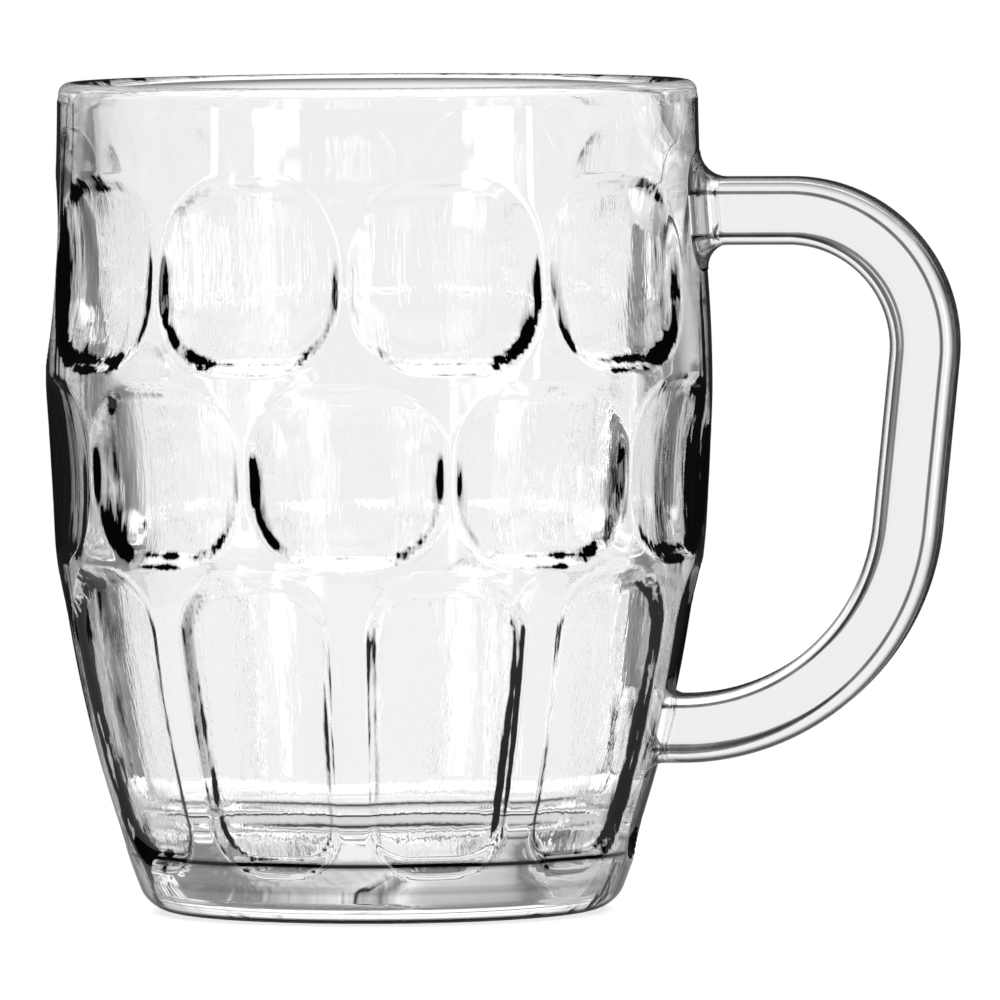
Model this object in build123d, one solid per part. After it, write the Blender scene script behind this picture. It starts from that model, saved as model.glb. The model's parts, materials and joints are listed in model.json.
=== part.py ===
"""Dimpled glass beer mug: a pressed glass body and the glass handle that is fused to its side.

Millimetres. The origin is the centre of the base on the table, +Z is up, and the handle
stands out along +X. Both pieces mirror about the XZ plane.
"""
import os
from math import atan2, degrees, radians, sin, sqrt

from build123d import *

# Outer form of the body, from the table to the drinking rim
HEIGHT = 127.0
FOOT_RADIUS = 35.7
FOOT_FLARE = 22.0
FOOT_ROUND = 5.5
BARREL_RADIUS = 51.05
BARREL_HEIGHT = 80.0
SHOULDER_RADIUS = 50.65
SHOULDER_HEIGHT = 94.0
BAND_RADIUS = 49.7
BAND_HEIGHT = 107.0
LIP_RADIUS = 49.05

# Shallow dome pressed up into the underside, inside the ring that the mug stands on
RECESS_RADIUS = 27.0
RECESS_DEPTH = 1.6

# Tapered inside, left by the plunger
LIP_WALL = 4.2
FLOOR_HEIGHT = 15.0
FLOOR_RADIUS = 35.8
FLOOR_ROUND = 9.0

# Two rows of cushion-shaped dimples; the lower row sits between the columns of the upper row
COLUMNS = 10
DIMPLE_WIDTH = 33.4
DIMPLE_DEPTH = 3.2
DIMPLE_CORNER = 11.5
DIMPLE_SHOULDER = 3.0
DIMPLE_SIDE_CURVE = 150.0
DIMPLE_RISE_CURVE = 60.0
UPPER_ROW_HEIGHT = 98.5
UPPER_ROW_TALL = 30.2
LOWER_ROW_HEIGHT = 68.3
LOWER_ROW_TALL = 28.8

# Tall panels that run down to the foot, in line with the upper row
PANEL_TOP = 53.3
PANEL_BOTTOM = 8.0
PANEL_HALF_ANGLE = 16.3
PANEL_DEPTH = 2.3
PANEL_TOP_CORNER = 10.0
PANEL_LOW_CORNER = 7.5
PANEL_SHOULDER = 3.2

# Fire-polished edge of every dimple and panel
RIDGE_ROUND = 1.1

# Handle: centre line between the corners of its path, section, and the fillets of its two roots
HANDLE_TOP_HEIGHT = 107.0
HANDLE_TOP_REACH = 86.1
HANDLE_TOP_BEND = 20.5
HANDLE_LOW_HEIGHT = 27.8
HANDLE_LOW_REACH = 77.9
HANDLE_LOW_BEND = 34.7
HANDLE_THICKNESS = 10.2
HANDLE_WIDTH = 13.0
HANDLE_OUTER_ROUND = 2.2
HANDLE_INNER_ROUND = 1.4
ROOT_SINK = 2.5
TOP_ROOT_ROUND = 4.0
LOW_ROOT_ROUND = 2.6

# Length of a punch on each side of the skin, more than its depth and its shoulder
PUNCH_REACH = 12.0

# Share of the wall that each of the two fillets of the rim takes
LIP_SHARE = 0.48

# Size of the patch of wall that a root is filleted against, past the handle, in root fillets
PATCH_MARGIN = 6

PITCH = 360 / COLUMNS

foot_way = Vector(sin(radians(FOOT_FLARE)), 0, sin(radians(90 - FOOT_FLARE)))
skin_line = Spline(
    (FOOT_RADIUS, 0, 0),
    (BARREL_RADIUS, 0, BARREL_HEIGHT),
    (SHOULDER_RADIUS, 0, SHOULDER_HEIGHT),
    (BAND_RADIUS, 0, BAND_HEIGHT),
    (LIP_RADIUS, 0, HEIGHT),
    tangents=[foot_way, (0, 0, 1)],
).edge()


def skin_radius(height):
    """Outer radius of the body, without its dimples, at a height above the table."""
    level = Edge.make_line((0, 0, height), (2 * BARREL_RADIUS, 0, height))
    return skin_line.intersect(level).vertices()[0].X


def closed_face(*edges):
    """Face inside a run of edges whose last end is joined to its first by a straight line."""
    run = Wire(edges)
    return Face(Wire([*edges, Edge.make_line(run @ 1, run @ 0)]))


def plain_form():
    """Solid outer form of the body before the dimples and the inside are pressed.

    The seam of its round faces is turned to the side away from the handle.
    """
    recess = TangentArc((0, 0, RECESS_DEPTH), (RECESS_RADIUS, 0, 0), tangent=(1, 0, 0)).edge()
    ring = Edge.make_line((RECESS_RADIUS, 0, 0), (FOOT_RADIUS, 0, 0))
    top = Edge.make_line((LIP_RADIUS, 0, HEIGHT), (0, 0, HEIGHT))
    form = Rot(0, 0, 180) * revolve(closed_face(recess, ring, skin_line, top), Axis.Z)
    base = form.faces().filter_by(GeomType.PLANE).sort_by(Axis.Z)[0]
    return fillet(base.outer_wire().edges(), FOOT_ROUND)


def dimple_punch(height, tall):
    """Cushion-shaped punch of one dimple, on the +X side, square to the wall at its height."""
    drop = skin_radius(height - tall / 2) - skin_radius(height + tall / 2)
    lean = degrees(atan2(drop, tall))
    block = extrude(Plane.YZ * RectangleRounded(DIMPLE_WIDTH, tall, DIMPLE_CORNER), PUNCH_REACH, both=True)

    rise = DIMPLE_RISE_CURVE - sqrt(DIMPLE_RISE_CURVE**2 - tall**2 / 2)
    low = (rise - DIMPLE_DEPTH, 0, -tall / sqrt(2))
    high = (rise - DIMPLE_DEPTH, 0, tall / sqrt(2))
    profile = closed_face(
        ThreePointArc(low, (-DIMPLE_DEPTH, 0, 0), high).edge(),
        Edge.make_line(high, (PUNCH_REACH, 0, tall)),
        Edge.make_line((PUNCH_REACH, 0, tall), (PUNCH_REACH, 0, -tall)),
    )
    turn = degrees(atan2(DIMPLE_WIDTH, DIMPLE_SIDE_CURVE - DIMPLE_DEPTH - PUNCH_REACH))
    turn_axis = Axis((DIMPLE_SIDE_CURVE - DIMPLE_DEPTH, 0, 0), (0, 0, 1))
    crown = revolve(profile.rotate(turn_axis, -turn), turn_axis, 2 * turn)
    punch = block & crown
    face = punch.faces().sort_by(Axis.X)[0]
    return Pos(skin_radius(height), 0, height) * Rot(0, -lean, 0) * fillet(face.edges(), DIMPLE_SHOULDER)


def panel_punch():
    """Punch of one tall panel, on the +X side: flat across, and curved with the wall upwards."""
    spread = sin(radians(PANEL_HALF_ANGLE))
    low_half = skin_radius(PANEL_BOTTOM) * spread
    top_half = skin_radius(PANEL_TOP) * spread
    corners = [
        (-low_half, PANEL_BOTTOM), (low_half, PANEL_BOTTOM), (top_half, PANEL_TOP), (-top_half, PANEL_TOP)]
    outline = make_face(Polyline(*corners, close=True))
    outline = fillet(outline.vertices().group_by(Axis.Y)[-1], PANEL_TOP_CORNER)
    outline = fillet(outline.vertices().group_by(Axis.Y)[0], PANEL_LOW_CORNER)
    block = extrude(Plane.YZ * outline, BARREL_RADIUS + PANEL_DEPTH)

    middle = (PANEL_BOTTOM + PANEL_TOP) / 2
    levels = (0, middle, PANEL_TOP + PANEL_BOTTOM)
    floor = ThreePointArc(*[(skin_radius(z) - PANEL_DEPTH, 0, z) for z in levels]).edge()
    core_top = Edge.make_line(floor @ 1, (0, 0, levels[-1]))
    core_axis = Edge.make_line((0, 0, levels[-1]), (0, 0, 0))
    core = extrude(closed_face(floor, core_top, core_axis), BARREL_RADIUS, dir=(0, 1, 0), both=True)
    punch = block - core
    face = punch.faces().sort_by(Axis.X)[0]
    return fillet(face.edges(), PANEL_SHOULDER)


def columns(punch, first, count):
    """Copies of a punch round the body, from a first column counted from the handle."""
    return [Rot(0, 0, PITCH * (first + step)) * punch for step in range(count)]


def ridge_edges(form):
    """Edges where the dimples and panels meet the outer skin, without the skin's own seam."""
    skin = form.faces().sort_by(SortBy.AREA)[-1]
    rims = [edge for edge in skin.edges() if not edge.is_closed]
    return [edge for edge in rims if edge.bounding_box().size.Y > RIDGE_ROUND / 10]


def inside_form():
    """Solid of the mug's inside, from its rounded floor to the rim."""
    floor = Edge.make_line((0, 0, FLOOR_HEIGHT), (FLOOR_RADIUS, 0, FLOOR_HEIGHT))
    wall = Edge.make_line((FLOOR_RADIUS, 0, FLOOR_HEIGHT), (LIP_RADIUS - LIP_WALL, 0, HEIGHT))
    brim = Edge.make_line((LIP_RADIUS - LIP_WALL, 0, HEIGHT), (0, 0, HEIGHT))
    form = revolve(closed_face(floor, wall, brim), Axis.Z)
    bottom = form.faces().sort_by(Axis.Z)[0]
    return fillet(bottom.edges(), FLOOR_ROUND)


def make_body():
    """Pressed body: outer form, three rows of dimples, tapered inside and rounded rim.

    The upper row has no dimple at the handle's column, where the handle's top root sits.
    """
    upper_row = columns(dimple_punch(UPPER_ROW_HEIGHT, UPPER_ROW_TALL), 1, COLUMNS - 1)
    lower_row = columns(dimple_punch(LOWER_ROW_HEIGHT, LOWER_ROW_TALL), 0.5, COLUMNS)
    panels = columns(panel_punch(), 0, COLUMNS)
    form = plain_form() - upper_row - lower_row - panels
    form = fillet(ridge_edges(form), RIDGE_ROUND)
    form = form - inside_form()
    rim = form.faces().filter_by(GeomType.PLANE).sort_by(Axis.Z)[-1]
    return fillet(rim.edges(), LIP_SHARE * LIP_WALL)


def rooted(bar, patch, radius):
    """Bar with one root filleted against a patch of the wall, and cut off at that wall."""
    joined = bar + patch
    return fillet(new_edges(bar, patch, combined=joined), radius) - patch


def make_handle():
    """Swept handle with filleted roots, cut to the body's skin and to the panel under its low root."""
    top_start = (skin_radius(HANDLE_TOP_HEIGHT) - ROOT_SINK, 0, HANDLE_TOP_HEIGHT)
    low_end = (skin_radius(HANDLE_LOW_HEIGHT) - PANEL_DEPTH - ROOT_SINK, 0, HANDLE_LOW_HEIGHT)
    path = FilletPolyline(
        top_start,
        (HANDLE_TOP_REACH, 0, HANDLE_TOP_HEIGHT),
        (HANDLE_LOW_REACH, 0, HANDLE_LOW_HEIGHT),
        low_end,
        radius=[HANDLE_TOP_BEND, HANDLE_LOW_BEND],
    )
    section = Rectangle(HANDLE_WIDTH, HANDLE_THICKNESS)
    section = fillet(section.vertices().group_by(Axis.Y)[-1], HANDLE_OUTER_ROUND)
    section = fillet(section.vertices().group_by(Axis.Y)[0], HANDLE_INNER_ROUND)
    bar = sweep(Plane(top_start, x_dir=(0, 1, 0), z_dir=(1, 0, 0)) * section, path=path)

    wall = plain_form() - panel_punch()
    for height, radius in ((HANDLE_TOP_HEIGHT, TOP_ROOT_ROUND), (HANDLE_LOW_HEIGHT, LOW_ROOT_ROUND)):
        margin = PATCH_MARGIN * radius
        block = Box(BARREL_RADIUS, HANDLE_WIDTH + margin, HANDLE_THICKNESS + margin)
        bar = rooted(bar, wall & Pos(BARREL_RADIUS, 0, height) * block, radius)
    return bar


os.makedirs("parts", exist_ok=True)
export_step(make_body(), "parts/mug_body.step")
export_step(make_handle(), "parts/handle.step")
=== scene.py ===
"""Looks of a dimpled glass beer mug: the pressed body, the fused handle, the studio and the camera.

Meshes are built in millimetres and scaled to metres in their vertices. +Z is up and the handle is at +X.
"""

import json
import logging
import math
from dataclasses import dataclass
from enum import Enum

import bmesh
import bpy
import numpy as np
from mathutils import Matrix, Vector

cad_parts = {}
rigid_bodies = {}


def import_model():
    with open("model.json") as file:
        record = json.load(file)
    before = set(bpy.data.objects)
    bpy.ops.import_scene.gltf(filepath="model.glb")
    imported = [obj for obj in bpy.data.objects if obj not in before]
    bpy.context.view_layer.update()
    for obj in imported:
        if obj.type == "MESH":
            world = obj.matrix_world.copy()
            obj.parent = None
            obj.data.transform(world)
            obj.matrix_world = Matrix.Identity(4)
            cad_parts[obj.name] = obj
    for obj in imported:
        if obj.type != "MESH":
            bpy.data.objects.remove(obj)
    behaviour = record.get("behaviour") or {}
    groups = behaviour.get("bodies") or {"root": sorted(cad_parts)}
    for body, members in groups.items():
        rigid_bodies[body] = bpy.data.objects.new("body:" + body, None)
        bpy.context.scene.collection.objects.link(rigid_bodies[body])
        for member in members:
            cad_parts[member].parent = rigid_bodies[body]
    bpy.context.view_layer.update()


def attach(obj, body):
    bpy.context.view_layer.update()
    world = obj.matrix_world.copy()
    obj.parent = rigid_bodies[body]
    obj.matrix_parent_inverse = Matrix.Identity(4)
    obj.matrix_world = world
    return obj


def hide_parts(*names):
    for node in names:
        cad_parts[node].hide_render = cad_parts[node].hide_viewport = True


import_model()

MM = 0.001
SAME_PLACE = 1e-3
HALF_TURN = 180.0
CLEAR_BOUNCES = 24
MIRROR_BOUNCES = 16
LOG = logging.getLogger("mug")

# Pairs of a place and the value there, in the order of the places
Stops = tuple[tuple[float, float], ...]


class Mark(Enum):
    """Values that a mesh carries at its vertices for its glass.

    INSIDE is 1 on the inner wall and floor, PAINTED_LINE is a line of painted shade along a pressed edge,
    PAINTED_BAND is painted shade in level bands round the base and low inside, PRESSED goes from 0 on the
    skin to 1 deep in a pressed form,
    RIM is 1 on the outer half of the lip, which is kept free of painted shade, and FORM_WAY is the way that
    the form faces, which the painted edge shade follows.
    """

    INSIDE = "inside"
    PAINTED_LINE = "steep"
    PAINTED_BAND = "band"
    PRESSED = "pressed"
    RIM = "rim"
    FORM_WAY = "form_way"


class Edges(Enum):
    """What has to turn away from the viewer for a piece's edges to get painted shade."""

    OF_THE_FACE = "face"
    OF_THE_FORM = "form"


# Shapes

def smooth_min(first: np.ndarray, second: np.ndarray, width: float) -> np.ndarray:
    """Lower of two heights, rounded over where they cross.

    Args:
        first: One height at each point.
        second: The other height at each point.
        width: Difference of the heights below which the crossing is rounded.

    Returns:
        The rounded lower height at each point.
    """
    share = np.clip(width - np.abs(first - second), 0.0, None) / width
    return np.minimum(first, second) - share * share * width / 4


def inset_of(
    across: np.ndarray, up: np.ndarray, half_wide: np.ndarray | float, half_tall: float,
    corner: np.ndarray | float,
) -> np.ndarray:
    """Distance of points inside a rounded rectangle about the origin.

    Args:
        across: Sideways place of each point.
        up: Upward place of each point.
        half_wide: Half of the rectangle's width.
        half_tall: Half of the rectangle's height.
        corner: Radius of its corners.

    Returns:
        The distances, above 0 inside the outline and below 0 outside it.
    """
    past_side = np.abs(across) - half_wide + corner
    past_end = np.abs(up) - half_tall + corner
    outside = np.hypot(np.clip(past_side, 0, None), np.clip(past_end, 0, None))
    return corner - outside - np.clip(np.maximum(past_side, past_end), None, 0)


def shoulder_rise(inset: np.ndarray, radius: float) -> np.ndarray:
    """Rise of a rounded shoulder above the floor of a pressed form.

    Args:
        inset: Distance of each point inside the form's outline.
        radius: Radius of the shoulder.

    Returns:
        The rises, 0 past the shoulder and steep outside the outline.
    """
    steepness = 8.0
    reach = np.clip(radius - np.clip(inset, 0, None), 0, None)
    rise = radius - np.sqrt(radius * radius - reach * reach)
    return rise + steepness * np.clip(-inset, 0, None)


def turned(points: np.ndarray, angle: float) -> np.ndarray:
    """Points turned about the mug's axis.

    Args:
        points: Points, one a row.
        angle: Angle in radians, from +X towards +Y.

    Returns:
        The turned points.
    """
    return points @ np.array(Matrix.Rotation(angle, 3, "Z")).T


def read_off(stops: Stops, places: np.ndarray) -> np.ndarray:
    """Values between stops.

    Args:
        stops: Pairs of a place and the value there.
        places: Places to read.

    Returns:
        The value at each place.
    """
    known, values = zip(*stops)
    return np.interp(places, known, values)


def of_kind(items: list, kind: type) -> list:
    """Items of one kind among those that a mesh operator gives back.

    Args:
        items: Vertices, edges and faces.
        kind: The kind to keep.

    Returns:
        The kept items, in order.
    """
    return [item for item in items if isinstance(item, kind)]


def vertex_ways(mesh: bpy.types.Mesh) -> np.ndarray:
    """Outward way of each vertex of a mesh.

    Args:
        mesh: The mesh.

    Returns:
        Unit vectors, one a row.
    """
    flat = np.zeros(len(mesh.vertices) * 3)
    mesh.vertex_normals.foreach_get("vector", flat)
    return flat.reshape(-1, 3)


def as_piece(name: str, form: bmesh.types.BMesh) -> bpy.types.Object:
    """Turns a finished mesh into an object of the scene, with smooth faces.

    Args:
        name: Name of the piece.
        form: Finished mesh, which is freed.

    Returns:
        The new object.
    """
    mesh = bpy.data.meshes.new(name)
    form.to_mesh(mesh)
    form.free()
    mesh.shade_smooth()
    piece = bpy.data.objects.new(name, mesh)
    bpy.context.scene.collection.objects.link(piece)
    return piece


# Nodes

def math_node(
    tree: bpy.types.NodeTree, operation: str, *terms: bpy.types.NodeSocket | float,
) -> bpy.types.NodeSocket:
    """Adds a Math node.

    Args:
        tree: Node tree that takes it.
        operation: What it works out.
        terms: Its inputs in order, each a socket or a plain number.

    Returns:
        The result.
    """
    node = tree.nodes.new("ShaderNodeMath")
    node.operation = operation
    for socket, term in zip(node.inputs, terms):
        if isinstance(term, float):
            socket.default_value = term
        else:
            tree.links.new(term, socket)
    return node.outputs[0]


def tone_ramp(
    tree: bpy.types.NodeTree, value: bpy.types.NodeSocket, stops: Stops, span: float = 1.0,
) -> bpy.types.NodeSocket:
    """Adds a ramp of greys.

    Args:
        tree: Node tree that takes it.
        value: Place on the ramp, from 0 to 1.
        stops: Pairs of a place from 0 to the span and the grey there.
        span: Place at the ramp's far end.

    Returns:
        The colour.
    """
    ramp = tree.nodes.new("ShaderNodeValToRGB")
    elements = ramp.color_ramp.elements
    while len(elements) < len(stops):
        elements.new(1.0)
    for element, (place, tone) in zip(elements, stops):
        element.position = place / span
        element.color = (tone, tone, tone, 1)
    tree.links.new(value, ramp.inputs[0])
    return ramp.outputs["Color"]


def colour_mix(
    tree: bpy.types.NodeTree, share: bpy.types.NodeSocket,
    first: bpy.types.NodeSocket | float, second: bpy.types.NodeSocket | float,
) -> bpy.types.NodeSocket:
    """Adds a mix of two colours.

    Args:
        tree: Node tree that takes it.
        share: Share of the second colour.
        first: First colour, a socket or a plain grey.
        second: Second colour, a socket or a plain grey.

    Returns:
        The colour.
    """
    mix = tree.nodes.new("ShaderNodeMix")
    mix.data_type = "RGBA"
    tree.links.new(share, mix.inputs["Factor"])
    sockets = {socket.identifier: socket for socket in mix.inputs}
    for place, colour in (("A_Color", first), ("B_Color", second)):
        if isinstance(colour, float):
            sockets[place].default_value = (colour, colour, colour, 1)
        else:
            tree.links.new(colour, sockets[place])
    return next(socket for socket in mix.outputs if socket.identifier == "Result_Color")


def carried(tree: bpy.types.NodeTree, mark: Mark) -> bpy.types.NodeSocket:
    """Adds a reader of what a mesh carries at its vertices.

    Args:
        tree: Node tree of the material.
        mark: What to read.

    Returns:
        The vector of a way, or the number of any other mark.
    """
    node = tree.nodes.new("ShaderNodeAttribute")
    node.attribute_name = mark.value
    return node.outputs["Vector" if mark is Mark.FORM_WAY else "Fac"]


# Glass

class MouldMarks:
    """Node group of the faint upright streaks that the mould leaves in pressed glass."""

    detail: float = 4.0
    roughness: float = 0.65
    faintest: float = 0.35
    strongest: float = 0.65

    def __init__(self) -> None:
        """Builds the group once."""
        self.tree = bpy.data.node_groups.new("mould_marks", "ShaderNodeTree")
        face = self.tree.interface
        face.new_socket("Across", in_out="INPUT", socket_type="NodeSocketFloat")
        face.new_socket("Upward", in_out="INPUT", socket_type="NodeSocketFloat")
        face.new_socket("Streak", in_out="OUTPUT", socket_type="NodeSocketFloat")
        nodes, links = self.tree.nodes, self.tree.links
        given = nodes.new("NodeGroupInput")
        result = nodes.new("NodeGroupOutput")
        where = nodes.new("ShaderNodeTexCoord")
        stretch = nodes.new("ShaderNodeCombineXYZ")
        links.new(given.outputs["Across"], stretch.inputs["X"])
        links.new(given.outputs["Across"], stretch.inputs["Y"])
        links.new(given.outputs["Upward"], stretch.inputs["Z"])
        scaled = nodes.new("ShaderNodeVectorMath")
        scaled.operation = "MULTIPLY"
        links.new(where.outputs["Object"], scaled.inputs[0])
        links.new(stretch.outputs[0], scaled.inputs[1])
        noise = nodes.new("ShaderNodeTexNoise")
        noise.inputs["Scale"].default_value = 1.0
        noise.inputs["Detail"].default_value = self.detail
        noise.inputs["Roughness"].default_value = self.roughness
        links.new(scaled.outputs[0], noise.inputs["Vector"])
        spread = nodes.new("ShaderNodeMapRange")
        spread.inputs["From Min"].default_value = self.faintest
        spread.inputs["From Max"].default_value = self.strongest
        links.new(noise.outputs[0], spread.inputs["Value"])
        links.new(spread.outputs[0], result.inputs["Streak"])

    def place(self, tree: bpy.types.NodeTree, across: float, upward: float) -> bpy.types.NodeSocket:
        """Puts the group into a material.

        Args:
            tree: Node tree of the material.
            across: Streaks per metre round the piece.
            upward: Streaks per metre along the height.

        Returns:
            The streaks, from 0 to 1.
        """
        node = tree.nodes.new("ShaderNodeGroup")
        node.node_tree = self.tree
        node.inputs["Across"].default_value = across
        node.inputs["Upward"].default_value = upward
        return node.outputs["Streak"]


@dataclass(frozen=True)
class GlassFinish:
    """Clear pressed glass: bright floors with faint streaks, and painted shade where it turns away, along
    pressed edges and in bands.

    line_share is how much the painted lines along pressed edges add to the painted shade, break_up is how
    far the streaks break them, and painted_shade_depth is how many faces the view has passed where the
    painted shade ends.
    """

    name: str
    edges: Edges = Edges.OF_THE_FACE
    edge_stops: Stops = ((0.0, 1.0), (0.54, 1.0), (0.82, 0.0), (1.0, 0.0))
    edge_blend: float = 0.5
    line_share: float = 1.1
    break_up: float = 0.9
    painted_shade_depth: float = 1.5
    ior: float = 1.52
    smooth_roughness: float = 0.0
    pressed_roughness: float = 0.1
    inner_roughness: float = 0.05
    streaks_across: float = 220.0
    streaks_upward: float = 25.0
    ripple: float = 0.4
    ripple_height: float = 0.0003

    def painted_edge_shade(self, tree: bpy.types.NodeTree, streak: bpy.types.NodeSocket) -> bpy.types.NodeSocket:
        """Colour that paints shade on the glass: clear where it faces the viewer, dark on the painted lines
        and bands and where it turns away.

        Args:
            tree: Node tree of the material.
            streak: Streaks that break the painted shade lines of the pressed edges.

        Returns:
            The colour.
        """
        # Painted shade: the glass's colour darkens where it turns from the viewer, along pressed edges and
        # in bands
        weight = tree.nodes.new("ShaderNodeLayerWeight")
        weight.inputs["Blend"].default_value = self.edge_blend
        if self.edges is Edges.OF_THE_FORM:
            tree.links.new(carried(tree, Mark.FORM_WAY), weight.inputs["Normal"])
        facing = weight.outputs["Facing"]
        line = math_node(tree, "MULTIPLY_ADD", carried(tree, Mark.PAINTED_LINE), self.line_share, facing)
        broken = math_node(tree, "MULTIPLY_ADD", streak, self.break_up, 1.0 - self.break_up / 2)
        uneven = math_node(tree, "MAXIMUM", math_node(tree, "MULTIPLY", line, broken), facing)
        whole = math_node(tree, "MAXIMUM", uneven, carried(tree, Mark.PAINTED_BAND))
        # Only the near wall gets the painted shade, so that the far wall's painted lines don't crowd it
        path = tree.nodes.new("ShaderNodeLightPath")
        near = math_node(tree, "LESS_THAN", path.outputs["Transmission Depth"], self.painted_shade_depth)
        # The outer half of the lip is left without painted shade
        dark = math_node(tree, "SUBTRACT", near, carried(tree, Mark.RIM))
        return tone_ramp(tree, math_node(tree, "MULTIPLY", whole, dark), self.edge_stops)

    def material(self, marks: MouldMarks) -> bpy.types.Material:
        """Makes the material of the finish.

        Args:
            marks: Streaks of the mould.

        Returns:
            The new material.
        """
        made = bpy.data.materials.new(self.name)
        made.use_nodes = True
        tree = made.node_tree
        shader = tree.nodes["Principled BSDF"]
        shader.inputs["IOR"].default_value = self.ior
        shader.inputs["Transmission Weight"].default_value = 1.0
        streak = marks.place(tree, self.streaks_across, self.streaks_upward)
        tree.links.new(self.painted_edge_shade(tree, streak), shader.inputs["Base Color"])
        amount = math_node(tree, "MULTIPLY", carried(tree, Mark.PRESSED), streak)
        inside = carried(tree, Mark.INSIDE)
        inner = math_node(tree, "MULTIPLY_ADD", inside, self.inner_roughness, self.smooth_roughness)
        rough = math_node(tree, "MULTIPLY_ADD", amount, self.pressed_roughness, inner)
        tree.links.new(rough, shader.inputs["Roughness"])
        bump = tree.nodes.new("ShaderNodeBump")
        bump.inputs["Strength"].default_value = self.ripple
        bump.inputs["Distance"].default_value = self.ripple_height
        tree.links.new(amount, bump.inputs["Height"])
        tree.links.new(bump.outputs[0], shader.inputs["Normal"])
        return made


# Body

@dataclass(frozen=True)
class Knot:
    """One point of the body's outer profile: its height, its radius and how fast the radius grows there."""

    height: float
    radius: float
    slope: float


@dataclass(frozen=True)
class DimpleRow:
    """A row of cushion-shaped dimples: where it sits, how tall it is and how many columns it is turned."""

    height: float
    tall: float
    turn: float
    skipped: tuple[int, ...] = ()
    wide: float = 33.4
    depth: float = 3.2
    corner: float = 11.5
    shoulder: float = 3.0
    side_curve: float = 150.0
    rise_curve: float = 60.0

    def floor(self, across: np.ndarray, up: np.ndarray) -> np.ndarray:
        """Place of the dimple's surface along its own axis, from the skin at its centre.

        Args:
            across: Sideways place of each point in the dimple.
            up: Upward place of each point in the dimple.

        Returns:
            The places, below 0 under the skin.
        """
        base = up ** 2 / (2 * self.rise_curve) - self.depth
        bottom = base + across ** 2 / (2 * self.side_curve)
        inset = inset_of(across, up, self.wide / 2, self.tall / 2, self.corner)
        return bottom + shoulder_rise(inset, self.shoulder)


@dataclass(frozen=True)
class PanelRow:
    """The row of tall panels above the foot: flat across and curved with the wall upwards."""

    top: float = 53.3
    bottom: float = 8.0
    half_angle: float = 16.3
    depth: float = 2.3
    top_corner: float = 10.0
    low_corner: float = 7.5
    shoulder: float = 3.2
    margin: float = 3.0


@dataclass(frozen=True)
class PaintedEdgeLines:
    """How dark the painted shade line along a pressed edge is, from how the wall turns there from the plain
    skin.
    """

    by_turn: Stops = ((0.0, 0.0), (0.05, 0.35), (0.08, 1.0), (0.14, 1.0), (0.22, 0.35), (0.5, 0.3))
    # by_lift paints the shade darker where the wall turns up, and by_side darker where it turns towards the
    # middle along X, as the shade falls seen from the front or the back
    by_lift: Stops = ((-0.4, 0.35), (-0.15, 0.45), (0.0, 1.0), (0.15, 1.0), (0.4, 0.8))
    by_side: Stops = ((-0.2, 0.52), (0.0, 0.68), (0.2, 1.0))

    def strength(self, sideways: np.ndarray, plain_ways: np.ndarray, ways: np.ndarray) -> np.ndarray:
        """Strength of the painted shade line at each point.

        Args:
            sideways: Place of each point along X, as a share of the widest radius.
            plain_ways: Outward way of each point before pressing.
            ways: Outward way of each point after pressing.

        Returns:
            The strengths, 0 on plain skin.
        """
        change = ways - plain_ways
        turn = 1.0 - np.sum(plain_ways * ways, axis=1)
        inward = -change[:, 0] * sideways
        lifted = read_off(self.by_turn, turn) * read_off(self.by_lift, change[:, 2])
        return lifted * read_off(self.by_side, inward)


@dataclass(frozen=True)
class PaintedBand:
    """A level band of painted shade round the base: its height, its half width and its strength."""

    height: float
    half: float
    weight: float

    def strength(self, heights: np.ndarray) -> np.ndarray:
        """Strength of the painted shade band at each height."""
        return self.weight * np.exp(-((heights - self.height) / self.half) ** 2)


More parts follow.
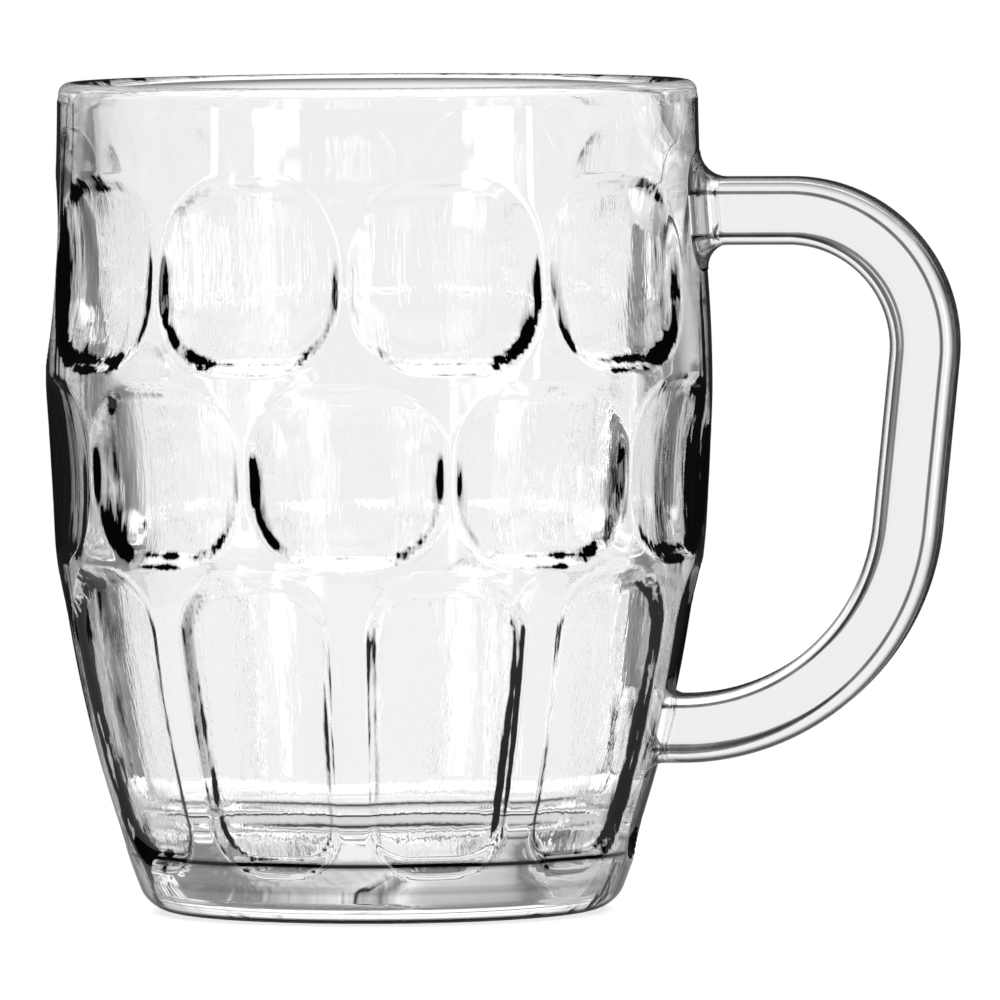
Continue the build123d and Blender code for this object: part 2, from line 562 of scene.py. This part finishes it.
@dataclass(frozen=True)
class PressedBody:
    """The mug's body: lathe form, pressed rows, tapered inside and rounded rim.

    floor_reach is how far the round between the floor and the inner wall runs along each. full_press is the
    share of a dimple's depth at which the glass counts as pressed. face_share is how far the way of the form
    follows the pressed wall.
    """

    height: float = 127.0
    recess_radius: float = 27.0
    recess_depth: float = 1.6
    recess_cuts: int = 4
    foot_round: float = 5.5
    foot_half_angle: float = 56.0
    foot_segments: int = 8
    lip_wall: float = 4.2
    lip_round: float = 2.0
    lip_segments: int = 5
    floor_height: float = 15.0
    floor_radius: float = 35.8
    floor_reach: float = 8.37
    floor_segments: int = 12
    columns: int = 10
    ridge_width: float = 0.7
    column_steps: int = 50
    skin_start: float = 5.0
    skin_rows: int = 142
    skin_margin: float = 0.3
    inner_rows: int = 6
    inner_margin: float = 0.01
    full_press: float = 0.5
    face_share: float = 0.25
    # Painted shade: lines along pressed edges, and bands round the base outside and low inside
    lines: PaintedEdgeLines = PaintedEdgeLines()
    base_bands: tuple[PaintedBand, ...] = (PaintedBand(0.5, 0.9, 0.9), PaintedBand(5.2, 2.0, 0.7), PaintedBand(9.2, 1.2, 0.92))
    floor_bands: tuple[PaintedBand, ...] = (PaintedBand(16.4, 1.0, 0.8), PaintedBand(19.0, 1.0, 0.88))
    knots: tuple[Knot, ...] = (
        Knot(0.0, 35.7, 0.404),
        Knot(80.0, 51.05, 0.0024),
        Knot(94.0, 50.65, -0.0597),
        Knot(107.0, 49.7, -0.0707),
        Knot(127.0, 49.05, 0.0),
    )
    rows: tuple[DimpleRow, ...] = (
        DimpleRow(98.5, 30.2, 0.0, skipped=(0,)),
        DimpleRow(68.3, 28.8, 0.5),
    )
    panels: PanelRow = PanelRow()
    finish: GlassFinish = GlassFinish("body_glass", edges=Edges.OF_THE_FORM, edge_blend=0.44)

    def skin_radius(self, height: np.ndarray | float) -> np.ndarray:
        """Outer radius of the body before it is pressed.

        Args:
            height: Height above the table, one or many.

        Returns:
            The radius at each height.
        """
        height = np.asarray(height, float)
        radius = np.zeros_like(height)
        for low, high in zip(self.knots, self.knots[1:]):
            span = high.height - low.height
            share = (height - low.height) / span
            square, cube = share ** 2, share ** 3
            run = (
                (2 * cube - 3 * square + 1) * low.radius
                + (cube - 2 * square + share) * span * low.slope
                + (3 * square - 2 * cube) * high.radius
                + (cube - square) * span * high.slope
            )
            radius = np.where(height >= low.height, run, radius)
        return radius

    def press_dimple(self, points: np.ndarray, row: DimpleRow) -> np.ndarray:
        """Presses the dimple on the +X side.

        Args:
            points: Points of the skin, turned so that the dimple is on the +X side.
            row: Row of the dimple.

        Returns:
            The points with those under the punch moved in.
        """
        high = self.skin_radius(row.height + row.tall / 2)
        low = self.skin_radius(row.height - row.tall / 2)
        lean = np.array(Matrix.Rotation(-math.atan2(low - high, row.tall), 3, "Y"))
        centre = np.array((self.skin_radius(row.height), 0, row.height))
        local = (points - centre) @ lean
        near = (np.abs(local[:, 2]) < row.tall) & (np.abs(local[:, 1]) < row.wide) & (points[:, 0] > 0)
        part = local[near]
        part[:, 0] = smooth_min(part[:, 0], row.floor(part[:, 1], part[:, 2]), self.ridge_width)
        local[near] = part
        return local @ lean.T + centre

    def press_panel(self, points: np.ndarray) -> np.ndarray:
        """Presses the panel on the +X side.

        Args:
            points: Points of the skin, turned so that the panel is on the +X side.

        Returns:
            The points with those under the punch moved in.
        """
        row = self.panels
        spread = math.sin(math.radians(row.half_angle))
        low_half, top_half = self.skin_radius(row.bottom) * spread, self.skin_radius(row.top) * spread
        middle, half_tall = (row.top + row.bottom) / 2, (row.top - row.bottom) / 2
        near = np.abs(points[:, 2] - middle) < half_tall + row.margin
        near &= (np.abs(points[:, 1]) < 2 * top_half) & (points[:, 0] > 0)
        x, y, z = points[near].T
        half_wide = low_half + (top_half - low_half) * (z - row.bottom) / (row.top - row.bottom)
        corner = np.where(z > middle, row.top_corner, row.low_corner)
        rise = shoulder_rise(inset_of(y, z - middle, half_wide, half_tall, corner), row.shoulder)
        pressed = points.copy()
        pressed[near, 0] = smooth_min(x, self.skin_radius(z) - row.depth + rise, self.ridge_width)
        return pressed

    def press(self, points: np.ndarray) -> np.ndarray:
        """Presses every row of the body.

        Args:
            points: Points of the plain skin.

        Returns:
            The pressed points.
        """
        pitch = math.tau / self.columns
        for column in range(self.columns):
            for row in self.rows:
                if column in row.skipped:
                    continue
                angle = pitch * (column + row.turn)
                points = turned(self.press_dimple(turned(points, -angle), row), angle)
            points = turned(self.press_panel(turned(points, -pitch * column)), pitch * column)
        return points

    def profile(self, form: bmesh.types.BMesh) -> None:
        """Draws half of the body's section in the XZ plane, from the underside to the floor of the inside.

        Args:
            form: Empty mesh that takes the section.
        """
        foot = (self.knots[0].radius, 0)
        lip = (self.knots[-1].radius, self.height)
        inner_lip = (self.knots[-1].radius - self.lip_wall, self.height)
        inner_floor = (self.floor_radius, self.floor_height)
        corners = [
            (0, self.recess_depth), (self.recess_radius, 0), foot,
            (float(self.skin_radius(self.skin_start)), self.skin_start),
            lip, inner_lip, inner_floor, (0, self.floor_height),
        ]
        verts = [form.verts.new((radius, 0, height)) for radius, height in corners]
        edges = [form.edges.new(pair) for pair in zip(verts, verts[1:])]
        dome = bmesh.ops.subdivide_edges(form, edges=[edges[0]], cuts=self.recess_cuts)["geom_inner"]
        for vert in of_kind(dome, bmesh.types.BMVert):
            vert.co.z = self.recess_depth * (1 - (vert.co.x / self.recess_radius) ** 2)
        rounds = (
            (foot, self.foot_round / math.tan(math.radians(self.foot_half_angle)), self.foot_segments),
            (lip, self.lip_round, self.lip_segments),
            (inner_lip, self.lip_round, self.lip_segments),
            (inner_floor, self.floor_reach, self.floor_segments),
        )
        for (radius, height), reach, segments in rounds:
            place = Vector((radius, 0, height))
            corner = min(form.verts, key=lambda vert: (vert.co - place).length)
            bmesh.ops.bevel(
                form, geom=[corner], offset=reach, offset_type="OFFSET", affect="VERTICES",
                segments=segments, profile=0.5, material=-1,
            )

    def lathe(self) -> bpy.types.Object:
        """Turns the section into the plain body before pressing, in millimetres.

        Returns:
            The new object.
        """
        form = bmesh.new()
        self.profile(form)
        walls = [edge for edge in form.edges if edge.calc_length() > self.height / 2]
        walls.sort(key=lambda edge: sum(vert.co.x for vert in edge.verts))
        bmesh.ops.subdivide_edges(form, edges=walls[:1], cuts=self.inner_rows)
        skin = bmesh.ops.subdivide_edges(form, edges=walls[1:], cuts=self.skin_rows)["geom_inner"]
        for vert in of_kind(skin, bmesh.types.BMVert):
            vert.co.x = self.skin_radius(vert.co.z)
        pitch = math.tau / self.columns
        bmesh.ops.spin(
            form, geom=form.verts[:] + form.edges[:], cent=(0, 0, 0), axis=(0, 0, 1),
            angle=pitch, steps=self.column_steps,
        )
        column = form.verts[:] + form.edges[:] + form.faces[:]
        for step in range(1, self.columns):
            copy = bmesh.ops.duplicate(form, geom=column)["geom"]
            moved = of_kind(copy, bmesh.types.BMVert)
            bmesh.ops.rotate(form, verts=moved, matrix=Matrix.Rotation(pitch * step, 3, "Z"))
        bmesh.ops.remove_doubles(form, verts=form.verts, dist=SAME_PLACE)
        bmesh.ops.recalc_face_normals(form, faces=form.faces)
        return as_piece("pressed_body", form)

    def build(self) -> bpy.types.Object:
        """Makes the body's piece and the values that its glass reads.

        Returns:
            The new object, in metres.
        """
        piece = self.lathe()
        mesh = piece.data
        flat = np.zeros(len(mesh.vertices) * 3)
        mesh.vertices.foreach_get("co", flat)
        points = flat.reshape(-1, 3)
        reach = np.hypot(points[:, 0], points[:, 1])
        below_lip = points[:, 2] < self.height - self.lip_round
        skin = (reach > self.skin_radius(points[:, 2]) - self.skin_margin) & below_lip
        inside = (points[:, 2] > self.floor_height - self.inner_margin) & ~skin & below_lip
        outer_lip = reach > self.knots[-1].radius - self.lip_wall / 2
        rim = (points[:, 2] > self.height - self.lip_round) & outer_lip
        points[skin] = self.press(points[skin])
        depth = reach - np.hypot(points[:, 0], points[:, 1])
        plain_ways = vertex_ways(mesh)
        mesh.vertices.foreach_set("co", (points * MM).ravel())
        mesh.update()
        ways = vertex_ways(mesh)

        # Painted shade bands, round the base outside and low on the inner floor inside
        band = np.zeros(len(points))
        for bands, where in ((self.base_bands, ~inside), (self.floor_bands, inside)):
            for ring in bands:
                band = np.where(where, np.maximum(band, ring.strength(points[:, 2])), band)
        marks = {
            Mark.INSIDE: inside,
            Mark.PAINTED_LINE: self.lines.strength(points[:, 0] / reach.max(), plain_ways, ways),
            Mark.PAINTED_BAND: band,
            Mark.PRESSED: np.clip(depth / (self.full_press * self.rows[0].depth), 0, 1),
            Mark.RIM: rim,
        }
        for mark, values in marks.items():
            layer = mesh.attributes.new(mark.value, "FLOAT", "POINT")
            layer.data.foreach_set("value", values.astype(np.float32))
        # A way between the skin's and the pressed wall's for the painted edge shade, because the wall's own
        # paints whole walls black
        form_ways = plain_ways + self.face_share * (ways - plain_ways)
        form_ways /= np.linalg.norm(form_ways, axis=1, keepdims=True)
        layer = mesh.attributes.new(Mark.FORM_WAY.value, "FLOAT_VECTOR", "POINT")
        layer.data.foreach_set("vector", form_ways.ravel())
        return piece

    def dress(self, piece: bpy.types.Object, marks: MouldMarks) -> None:
        """Gives the body its glass."""
        piece.data.materials.append(self.finish.material(marks))


# Handle

@dataclass(frozen=True)
class HandleRoot:
    """One end of the handle: its height, whether its outer side is up, the wall's depth and the flare."""

    height: float
    outer_up: bool
    wall_depth: float
    flare: float


@dataclass(frozen=True)
class FusedHandle:
    """The handle: a bar with a rounded section, bent twice, with flared roots on the body."""

    body: PressedBody
    top_height: float = 107.0
    top_reach: float = 86.1
    top_bend: float = 20.5
    low_height: float = 27.8
    low_reach: float = 77.9
    low_bend: float = 34.7
    thickness: float = 10.2
    width: float = 13.0
    outer_round: float = 2.2
    outer_segments: int = 8
    inner_round: float = 1.4
    inner_segments: int = 6
    top_flare: float = 4.0
    low_flare: float = 2.6
    # Strength of the painted shade lines where the bar's flat sides meet its rounds
    painted_line_weight: float = 0.8
    side_cuts: int = 14
    bend_steps: int = 40
    flare_steps: int = 8
    cap_shares: tuple[float, ...] = (0.8, 0.6, 0.4, 0.2, 0.02)
    seat_gap: float = 0.12
    finish: GlassFinish = GlassFinish(
        "handle_glass", edge_stops=((0.0, 1.0), (0.2, 1.0), (0.4, 0.1), (1.0, 0.0)), break_up=0.3,
    )

    def seat(self, across: float, up: float, wall_depth: float) -> float:
        """Place along X at which a root sits on the body.

        Args:
            across: Sideways place.
            up: Height.
            wall_depth: How far the wall is pressed in, or 0 on plain skin.

        Returns:
            The place, a hair off the wall.
        """
        radius = float(self.body.skin_radius(up))
        wall = math.sqrt(radius ** 2 - across ** 2) if wall_depth == 0 else radius - wall_depth
        return wall + self.seat_gap

    def flared(self, place: Vector, spread: float, away: float, share: float, end: HandleRoot) -> Vector:
        """Point of the bar's section, moved out on to the flare of a root.

        Args:
            place: Point of the section at the bar's end.
            spread: How far the section has grown there.
            away: Distance from the wall.
            share: Size of the section, below 1 on the cap.
            end: The root.

        Returns:
            The moved point.
        """
        up = place.z - end.height
        corner = self.outer_round if (up > 0) == end.outer_up else self.inner_round
        side, rise = self.width / 2 - corner, self.thickness / 2 - corner
        core = Vector((max(min(place.y, side), -side), max(min(up, rise), -rise)))
        way = (Vector((place.y, up)) - core).normalized()
        y = (place.y + way.x * spread) * share
        z = end.height + (up + way.y * spread) * share
        return Vector((self.seat(y, z, end.wall_depth) + away, y, z))

    def close_root(
        self, form: bmesh.types.BMesh, loop: list[bmesh.types.BMEdge], end: HandleRoot,
    ) -> None:
        """Flares one end of the bar on to the body and closes it there.

        Args:
            form: Mesh of the bar.
            loop: Edges of the bar's open end.
            end: The root.
        """
        flare = [
            (end.flare * (1 - math.cos(turn)), end.flare * (1 - math.sin(turn)), 1.0)
            for turn in np.linspace(0, math.pi / 2, self.flare_steps + 1)
        ]
        cap = [(end.flare, 0.0, share) for share in self.cap_shares]
        starts = {vert: vert.co.copy() for edge in loop for vert in edge.verts}
        for spread, away, share in flare + cap:
            made = bmesh.ops.extrude_edge_only(form, edges=loop)["geom"]
            step = {}
            for vert in of_kind(made, bmesh.types.BMVert):
                twin = min(starts, key=lambda old: (old.co - vert.co).length)
                step[vert] = starts[twin]
            for vert, place in step.items():
                vert.co = self.flared(place, spread, away, share, end)
            starts = step
            sides = of_kind(made, bmesh.types.BMEdge)
            loop = [edge for edge in sides if all(vert in step for vert in edge.verts)]
        bmesh.ops.contextual_create(form, geom=loop)

    def section(self, form: bmesh.types.BMesh, start: float) -> None:
        """Draws the bar's section and marks painted shade lines along its four edges, at the ends of its
        flat sides across Y.

        Args:
            form: Empty mesh that takes the section.
            start: Place along X at which the top bend starts.
        """
        half_wide, half_thick = self.width / 2, self.thickness / 2
        corners = (
            (-half_wide, -half_thick), (half_wide, -half_thick),
            (half_wide, half_thick), (-half_wide, half_thick),
        )
        verts = [form.verts.new((start, y, self.top_height + z)) for y, z in corners]
        form.faces.new(verts)
        rounds = (
            (half_thick, self.outer_round, self.outer_segments),
            (-half_thick, self.inner_round, self.inner_segments),
        )
        for side, radius, segments in rounds:
            picked = [vert for vert in form.verts if abs(vert.co.z - self.top_height - side) < SAME_PLACE]
            bmesh.ops.bevel(
                form, geom=picked, offset=radius, offset_type="OFFSET", affect="VERTICES",
                segments=segments, profile=0.5, material=-1,
            )
        bmesh.ops.delete(form, geom=form.faces[:], context="FACES_ONLY")
        # Painted shade lines where the flat sides start to round over
        line = form.verts.layers.float.new(Mark.PAINTED_LINE.value)
        for vert in form.verts:
            vert[line] = self.painted_line_weight if abs(abs(vert.co.y) - half_wide) < SAME_PLACE else 0.0
        sides = [edge for edge in form.edges if edge.calc_length() > half_thick]
        inner = bmesh.ops.subdivide_edges(form, edges=sides, cuts=self.side_cuts)["geom_inner"]
        for vert in of_kind(inner, bmesh.types.BMVert):
            vert[line] = 0.0

    def build(self) -> bpy.types.Object:
        """Makes the handle's piece.

        Returns:
            The new object, in metres.
        """
        slant = Vector((self.low_reach - self.top_reach, self.low_height - self.top_height))
        top_turn = math.pi / 2 + math.atan2(-slant.x, -slant.y)
        low_turn = math.pi - top_turn
        top_cut = self.top_bend * math.tan(top_turn / 2)
        low_cut = self.low_bend * math.tan(low_turn / 2)
        start = self.top_reach - top_cut

        form = bmesh.new()
        self.section(form, start)
        top_end = form.edges[:]
        top = bmesh.ops.spin(
            form, geom=top_end + form.verts[:],
            cent=(start, 0, self.top_height - self.top_bend),
            axis=(0, 1, 0), angle=top_turn, steps=self.bend_steps, use_merge=False,
        )["geom_last"]
        grip = bmesh.ops.extrude_edge_only(form, edges=of_kind(top, bmesh.types.BMEdge))["geom"]
        moved = of_kind(grip, bmesh.types.BMVert)
        run = slant.normalized() * (slant.length - top_cut - low_cut)
        bmesh.ops.translate(form, verts=moved, vec=(run.x, 0, run.y))
        grip_end = [
            edge for edge in of_kind(grip, bmesh.types.BMEdge)
            if all(vert in moved for vert in edge.verts)
        ]
        low = bmesh.ops.spin(
            form, geom=grip_end + moved,
            cent=(self.low_reach - low_cut, 0, self.low_height + self.low_bend),
            axis=(0, 1, 0), angle=low_turn, steps=self.bend_steps, use_merge=False,
        )["geom_last"]
        low_end = of_kind(low, bmesh.types.BMEdge)
        self.close_root(form, top_end, HandleRoot(self.top_height, True, 0.0, self.top_flare))
        panel_depth = self.body.panels.depth
        self.close_root(form, low_end, HandleRoot(self.low_height, False, panel_depth, self.low_flare))
        bmesh.ops.remove_doubles(form, verts=form.verts, dist=SAME_PLACE)
        bmesh.ops.recalc_face_normals(form, faces=form.faces)
        bmesh.ops.scale(form, vec=(MM, MM, MM), verts=form.verts)
        piece = as_piece("fused_handle", form)
        weigh = piece.modifiers.new("flat_sides", "WEIGHTED_NORMAL")
        weigh.keep_sharp = True
        return piece

    def dress(self, piece: bpy.types.Object, marks: MouldMarks) -> None:
        """Gives the handle its glass."""
        piece.data.materials.append(self.finish.material(marks))


# Studio and camera

@dataclass(frozen=True)
class Viewpoint:
    """The camera: a long lens, nearly level, a little towards the handle."""

    azimuth: float = 5.5
    elevation: float = 2.8
    distance: float = 2.6
    aim: tuple[float, float, float] = (0.0183, 0.0018, 0.06265)
    frame_width: float = 0.1532
    roll: float = 0.33
    sensor: float = 36.0
    far: float = 50.0

    def place(self) -> None:
        """Sets the scene's camera."""
        lens = bpy.data.cameras.new("camera")
        camera = bpy.data.objects.new("camera", lens)
        bpy.context.scene.collection.objects.link(camera)
        turn, rise = math.radians(self.azimuth), math.radians(self.elevation)
        back = Vector((math.sin(turn) * math.cos(rise), -math.cos(turn) * math.cos(rise), math.sin(rise)))
        camera.location = Vector(self.aim) + self.distance * back
        level = back.to_track_quat("Z", "Y").to_matrix().to_4x4()
        camera.matrix_world = (
            Matrix.Translation(camera.location) @ level @ Matrix.Rotation(math.radians(-self.roll), 4, "Z")
        )
        lens.sensor_width = self.sensor
        lens.lens = self.sensor * self.distance / self.frame_width
        lens.clip_end = self.far
        bpy.context.scene.camera = camera


@dataclass(frozen=True)
class SoftBox:
    """A tall soft box: degrees from the front towards the handle, width in metres and power in watts."""

    name: str
    azimuth: float
    width: float
    power: float
    tall: float = 0.5
    distance: float = 1.3
    height: float = 0.1
    aim: float = 0.08

    def hang(self) -> None:
        """Puts the soft box into the scene, turned towards the mug."""
        light = bpy.data.lights.new(self.name, "AREA")
        light.shape = "RECTANGLE"
        light.size, light.size_y = self.width, self.tall
        light.energy = self.power
        lamp = bpy.data.objects.new(self.name, light)
        turn = math.radians(self.azimuth)
        lamp.location = (self.distance * math.sin(turn), -self.distance * math.cos(turn), self.height)
        way = Vector((0, 0, self.aim)) - lamp.location
        lamp.rotation_euler = way.to_track_quat("-Z", "Y").to_euler()
        bpy.context.scene.collection.objects.link(lamp)


@dataclass(frozen=True)
class Studio:
    """White sweep across from the camera, dark flags beside it, a pale floor and soft boxes in front.

    The sweep's tones stand at degrees from its middle, which is across from the camera's azimuth. first_face
    and both_walls are numbers of faces that the view has passed.
    """

    azimuth: float
    sweep: Stops = ((0.0, 0.9), (14.0, 0.9), (30.0, 0.2), (50.0, 0.2), (75.0, 0.7), (180.0, 0.8))
    wide_sweep: Stops = ((0.0, 0.92), (50.0, 0.92), (80.0, 0.75), (180.0, 0.75))
    both_walls: float = 3.5
    first_face: float = 0.5
    up_weight: float = 1.1
    mirror_tone: float = 0.03
    floor_radius: float = 0.22
    floor_sides: int = 96
    floor_drop: float = 0.0002
    floor_tone: float = 0.6
    floor_roughness: float = 0.9
    floor_glow: float = 0.7
    windows: tuple[SoftBox, ...] = (
        SoftBox("left_window", -34.5, 0.167, 1.16),
        SoftBox("left_window_bar", -53.6, 0.07, 0.5),
        SoftBox("right_window", 47.2, 0.33, 2.3),
        SoftBox("right_window_bar", 60.8, 0.055, 0.4),
    )

    def off_sweep(self, tree: bpy.types.NodeTree) -> bpy.types.NodeSocket:
        """Angle of a direction from the middle of the sweep, the larger of its turn and its weighed rise.

        Args:
            tree: Node tree of the world.

        Returns:
            The angle, as a share of half a turn.
        """
        where = tree.nodes.new("ShaderNodeTexCoord")
        turn = tree.nodes.new("ShaderNodeVectorRotate")
        turn.rotation_type = "Z_AXIS"
        turn.inputs["Angle"].default_value = math.radians(-self.azimuth)
        tree.links.new(where.outputs["Generated"], turn.inputs["Vector"])
        split = tree.nodes.new("ShaderNodeSeparateXYZ")
        tree.links.new(turn.outputs[0], split.inputs[0])
        around = math_node(tree, "ARCTAN2", split.outputs["X"], split.outputs["Y"])
        lift = math_node(tree, "ABSOLUTE", math_node(tree, "ARCSINE", split.outputs["Z"]))
        high = math_node(tree, "MULTIPLY", lift, self.up_weight)
        off = math_node(tree, "MAXIMUM", math_node(tree, "ABSOLUTE", around), high)
        return math_node(tree, "DIVIDE", off, math.pi)

    def world(self) -> None:
        """Sets the world: white to the camera, and a lit sweep between dark flags to the glass."""
        world = bpy.data.worlds.new("studio")
        bpy.context.scene.world = world
        world.use_nodes = True
        tree = world.node_tree
        path = tree.nodes.new("ShaderNodeLightPath").outputs
        off = self.off_sweep(tree)
        narrow = tone_ramp(tree, off, self.sweep, HALF_TURN)
        wide = tone_ramp(tree, off, self.wide_sweep, HALF_TURN)
        # A view through both walls sees a wide sweep without flags, so the middle of the mug stays pale
        past = math_node(tree, "GREATER_THAN", path["Transmission Depth"], self.both_walls)
        swept = colour_mix(tree, past, narrow, wide)
        # What the first face mirrors is dimmed, so the outline stays dark
        first = math_node(tree, "LESS_THAN", path["Transmission Depth"], self.first_face)
        mirrored = math_node(tree, "MULTIPLY", path["Is Reflection Ray"], first)
        dimmed = colour_mix(tree, mirrored, swept, self.mirror_tone)
        glass = math_node(tree, "MAXIMUM", path["Is Glossy Ray"], path["Is Transmission Ray"])
        seen = colour_mix(tree, glass, 1.0, dimmed)
        tree.links.new(seen, tree.nodes["Background"].inputs["Color"])

    def floor(self) -> None:
        """Lays the pale floor under the mug."""
        form = bmesh.new()
        bmesh.ops.create_circle(form, cap_ends=True, segments=self.floor_sides, radius=self.floor_radius)
        floor = as_piece("floor", form)
        floor.location.z = -self.floor_drop
        paint = bpy.data.materials.new("floor_white")
        paint.use_nodes = True
        tree = paint.node_tree
        shader = tree.nodes["Principled BSDF"]
        shader.inputs["Base Color"].default_value = (self.floor_tone, self.floor_tone, self.floor_tone, 1)
        shader.inputs["Roughness"].default_value = self.floor_roughness
        shader.inputs["Emission Color"].default_value = (1, 1, 1, 1)
        path = tree.nodes.new("ShaderNodeLightPath").outputs
        seen = math_node(tree, "MAXIMUM", path["Is Camera Ray"], path["Is Transmission Ray"])
        glow = math_node(tree, "MULTIPLY", seen, self.floor_glow)
        tree.links.new(glow, shader.inputs["Emission Strength"])
        floor.data.materials.append(paint)

    def build(self) -> None:
        """Sets the world, lays the floor and hangs the soft boxes."""
        self.world()
        self.floor()
        for window in self.windows:
            window.hang()


def main() -> None:
    """Builds the pieces, the studio and the camera in order."""
    logging.basicConfig(level=logging.INFO, format="%(message)s")
    scene = bpy.context.scene
    scene.view_settings.view_transform = "Standard"
    scene.cycles.max_bounces = CLEAR_BOUNCES
    scene.cycles.transmission_bounces = CLEAR_BOUNCES
    scene.cycles.glossy_bounces = MIRROR_BOUNCES
    view = Viewpoint()
    view.place()

    marks = MouldMarks()
    pressed = PressedBody()
    body = pressed.build()
    pressed.dress(body, marks)
    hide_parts("mug_body")
    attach(body, "root")
    LOG.info("pressed_body: %d faces", len(body.data.polygons))
    fused = FusedHandle(pressed)
    handle = fused.build()
    fused.dress(handle, marks)
    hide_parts("handle")
    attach(handle, "root")
    LOG.info("fused_handle: %d faces", len(handle.data.polygons))

    Studio(view.azimuth).build()


if __name__ == "__main__":
    main()
